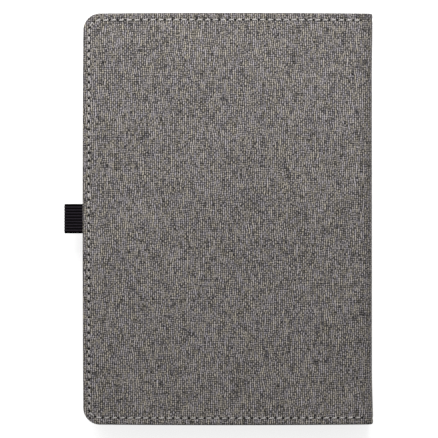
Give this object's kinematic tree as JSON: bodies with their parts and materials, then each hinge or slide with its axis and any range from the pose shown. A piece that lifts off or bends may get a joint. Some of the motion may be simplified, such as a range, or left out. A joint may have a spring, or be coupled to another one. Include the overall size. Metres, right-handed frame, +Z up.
{
  "type": "tablet keyboard case",
  "caption": "Cloth folio for a tablet with a built-in keyboard, an easel panel with a prop leg and elastic corner straps, and an elastic pen loop.",
  "frame": {"origin": "centre of the bounding box at the resting face of the tablet cover", "axes": "+X from the free edge and pen loop to the spine, +Y along the spine to the right of the keyboard user, +Z up through the closed folio"},
  "size_m": [0.1912, 0.256, 0.025],
  "materials": {
    "cloth": "heathered grey-taupe weave",
    "board": "grey board",
    "lining": "microfibre",
    "elastic": "ribbed elastic",
    "magnet": "plated",
    "shell": "satin",
    "key": "satin",
    "silicone": "translucent grey",
    "film": "clear printed film",
    "circuit": "solder mask",
    "battery": "foil pouch",
    "metal": "plated",
    "lens": "clear",
    "rubber": "matt"
  },
  "bodies": {
    "tablet_cover": {"tablet_cover_fabric": "cloth", "tablet_cover_board": "board", "tablet_cover_lining": "lining", "tablet_cover_magnet_1": "magnet", "tablet_cover_magnet_2": "magnet", "hinge_rail": "lining", "foot_grip_strip": "rubber", "panel_hinge_tape": "elastic"},
    "spine": {"spine_fabric": "cloth", "spine_board": "board", "spine_lining": "lining", "back_hinge_strip": "cloth", "front_hinge_strip": "cloth"},
    "keyboard_cover": {"keyboard_cover_fabric": "cloth", "keyboard_cover_board": "board", "keyboard_cover_lining": "lining", "keyboard_cover_magnet_1": "magnet", "keyboard_cover_magnet_2": "magnet", "pen_loop": "elastic", "keyboard_base": "shell", "keyboard_top_plate": "shell", "key_membrane": "silicone", "contact_sheet": "film", "circuit_board": "circuit", "battery_cell": "battery", "charging_port": "metal", "status_lens": "lens", "screen_bumper_1": "rubber", "screen_bumper_2": "rubber", "screen_bumper_3": "rubber", "screen_bumper_4": "rubber"},
    "stand_panel": {"stand_panel_board": "lining", "stand_panel_pad": "lining", "corner_strap_1": "elastic", "corner_strap_2": "elastic", "corner_strap_3": "elastic", "corner_strap_4": "elastic", "leg_hinge_tape": "elastic"},
    "prop_leg": {"prop_leg": "lining"},
    "function_keys": {"function_keys": "key"},
    "number_keys": {"number_keys": "key"},
    "upper_letter_keys": {"upper_letter_keys": "key"},
    "home_letter_keys": {"home_letter_keys": "key"},
    "lower_letter_keys": {"lower_letter_keys": "key"},
    "left_modifier_keys": {"left_modifier_keys": "key"},
    "right_modifier_keys": {"right_modifier_keys": "key"},
    "backspace_key": {"backspace_key": "key"},
    "tab_key": {"tab_key": "key"},
    "caps_lock_key": {"caps_lock_key": "key"},
    "enter_key": {"enter_key": "key"},
    "left_shift_key": {"left_shift_key": "key"},
    "right_shift_key": {"right_shift_key": "key"},
    "space_bar": {"space_bar": "key"},
    "up_arrow_key": {"up_arrow_key": "key"},
    "left_arrow_key": {"left_arrow_key": "key"},
    "down_arrow_key": {"down_arrow_key": "key"},
    "right_arrow_key": {"right_arrow_key": "key"},
    "power_switch": {"power_switch": "key"},
    "pairing_button": {"pairing_button": "key"}
  },
  "joints": [
    {"name": "back_spine_fold", "type": "hinge", "parent": "tablet_cover", "child": "spine", "pos_m": [0.0948, 0, 0.00075], "axis": [0, 1, 0], "range_deg": [0, 90], "deforming": ["back_hinge_strip"]},
    {"name": "front_spine_fold", "type": "hinge", "parent": "spine", "child": "keyboard_cover", "pos_m": [0.0948, 0, 0.02425], "axis": [0, 1, 0], "range_deg": [0, 90], "deforming": ["front_hinge_strip"]},
    {"name": "easel_tilt", "type": "hinge", "parent": "tablet_cover", "child": "stand_panel", "pos_m": [0.082, 0, 0.005], "axis": [0, 1, 0], "range_deg": [0, 65], "deforming": ["panel_hinge_tape"]},
    {"name": "leg_swing", "type": "hinge", "parent": "stand_panel", "child": "prop_leg", "pos_m": [0.004, 0, 0.00485], "axis": [0, -1, 0], "range_deg": [0, 130], "deforming": ["leg_hinge_tape"]},
    {"name": "key_function_press", "type": "slide", "parent": "keyboard_cover", "child": "function_keys", "axis": [0, 0, 1], "range_m": [0, 0.0012], "stiffness_N_per_m": 5850, "springref_m": -0.0004},
    {"name": "key_number_press", "type": "slide", "parent": "keyboard_cover", "child": "number_keys", "axis": [0, 0, 1], "range_m": [0, 0.0012], "stiffness_N_per_m": 5850, "springref_m": -0.0004},
    {"name": "key_upper_letter_press", "type": "slide", "parent": "keyboard_cover", "child": "upper_letter_keys", "axis": [0, 0, 1], "range_m": [0, 0.0012], "stiffness_N_per_m": 5850, "springref_m": -0.0004},
    {"name": "key_home_letter_press", "type": "slide", "parent": "keyboard_cover", "child": "home_letter_keys", "axis": [0, 0, 1], "range_m": [0, 0.0012], "stiffness_N_per_m": 4950, "springref_m": -0.0004},
    {"name": "key_lower_letter_press", "type": "slide", "parent": "keyboard_cover", "child": "lower_letter_keys", "axis": [0, 0, 1], "range_m": [0, 0.0012], "stiffness_N_per_m": 4500, "springref_m": -0.0004},
    {"name": "key_left_modifier_press", "type": "slide", "parent": "keyboard_cover", "child": "left_modifier_keys", "axis": [0, 0, 1], "range_m": [0, 0.0012], "stiffness_N_per_m": 1800, "springref_m": -0.0004},
    {"name": "key_right_modifier_press", "type": "slide", "parent": "keyboard_cover", "child": "right_modifier_keys", "axis": [0, 0, 1], "range_m": [0, 0.0012], "stiffness_N_per_m": 900, "springref_m": -0.0004},
    {"name": "key_backspace_press", "type": "slide", "parent": "keyboard_cover", "child": "backspace_key", "axis": [0, 0, 1], "range_m": [0, 0.0012], "stiffness_N_per_m": 450, "springref_m": -0.0004},
    {"name": "key_tab_press", "type": "slide", "parent": "keyboard_cover", "child": "tab_key", "axis": [0, 0, 1], "range_m": [0, 0.0012], "stiffness_N_per_m": 450, "springref_m": -0.0004},
    {"name": "key_caps_lock_press", "type": "slide", "parent": "keyboard_cover", "child": "caps_lock_key", "axis": [0, 0, 1], "range_m": [0, 0.0012], "stiffness_N_per_m": 450, "springref_m": -0.0004},
    {"name": "key_enter_press", "type": "slide", "parent": "keyboard_cover", "child": "enter_key", "axis": [0, 0, 1], "range_m": [0, 0.0012], "stiffness_N_per_m": 450, "springref_m": -0.0004},
    {"name": "key_left_shift_press", "type": "slide", "parent": "keyboard_cover", "child": "left_shift_key", "axis": [0, 0, 1], "range_m": [0, 0.0012], "stiffness_N_per_m": 450, "springref_m": -0.0004},
    {"name": "key_right_shift_press", "type": "slide", "parent": "keyboard_cover", "child": "right_shift_key", "axis": [0, 0, 1], "range_m": [0, 0.0012], "stiffness_N_per_m": 450, "springref_m": -0.0004},
    {"name": "key_space_bar_press", "type": "slide", "parent": "keyboard_cover", "child": "space_bar", "axis": [0, 0, 1], "range_m": [0, 0.0012], "stiffness_N_per_m": 450, "springref_m": -0.0004},
    {"name": "key_up_arrow_press", "type": "slide", "parent": "keyboard_cover", "child": "up_arrow_key", "axis": [0, 0, 1], "range_m": [0, 0.0012], "stiffness_N_per_m": 450, "springref_m": -0.0004},
    {"name": "key_left_arrow_press", "type": "slide", "parent": "keyboard_cover", "child": "left_arrow_key", "axis": [0, 0, 1], "range_m": [0, 0.0012], "stiffness_N_per_m": 450, "springref_m": -0.0004},
    {"name": "key_down_arrow_press", "type": "slide", "parent": "keyboard_cover", "child": "down_arrow_key", "axis": [0, 0, 1], "range_m": [0, 0.0012], "stiffness_N_per_m": 450, "springref_m": -0.0004},
    {"name": "key_right_arrow_press", "type": "slide", "parent": "keyboard_cover", "child": "right_arrow_key", "axis": [0, 0, 1], "range_m": [0, 0.0012], "stiffness_N_per_m": 450, "springref_m": -0.0004},
    {"name": "pairing_button_press", "type": "slide", "parent": "keyboard_cover", "child": "pairing_button", "axis": [0, 0, 1], "range_m": [0, 0.0003], "stiffness_N_per_m": 600, "springref_m": -0.0002},
    {"name": "power_switch_slide", "type": "slide", "parent": "keyboard_cover", "child": "power_switch", "axis": [0, 1, 0], "range_m": [0, 0.002]}
  ],
  "couplings": [
    {"joint": "easel_tilt", "follows": "front_spine_fold", "ratio": 0.72},
    {"joint": "leg_swing", "follows": "front_spine_fold", "ratio": 1.44}
  ]
}
